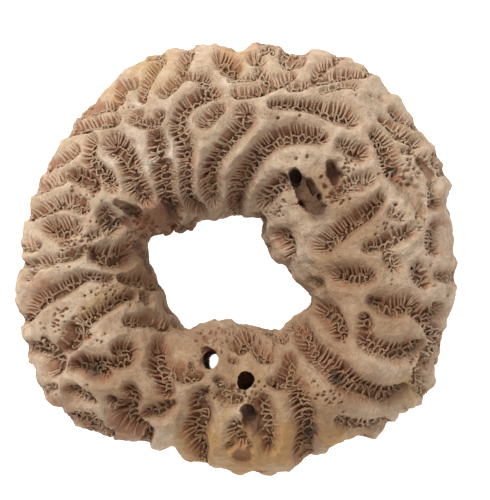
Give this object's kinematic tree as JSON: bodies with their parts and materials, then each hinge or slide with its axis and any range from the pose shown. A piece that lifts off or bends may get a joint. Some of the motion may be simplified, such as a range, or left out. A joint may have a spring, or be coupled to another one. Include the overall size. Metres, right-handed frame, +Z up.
{
  "type": "brain coral skeleton",
  "caption": "Ring-shaped dry brain coral skeleton with winding ridges and valleys, bored holes and an open centre, lying on its flat cut base.",
  "frame": {"origin": "centre of the bounding box, on the flat cut base the coral rests on", "axes": "+Z up, out of the base towards the crown; +Y to the far side and +X to the right, as the picture shows it from above"},
  "size_m": [0.1107, 0.108, 0.0367],
  "materials": {
    "coral_limestone": "matt, porous, sea-worn"
  },
  "bodies": {
    "root": {"brain_coral": "coral_limestone"}
  },
  "joints": []
}
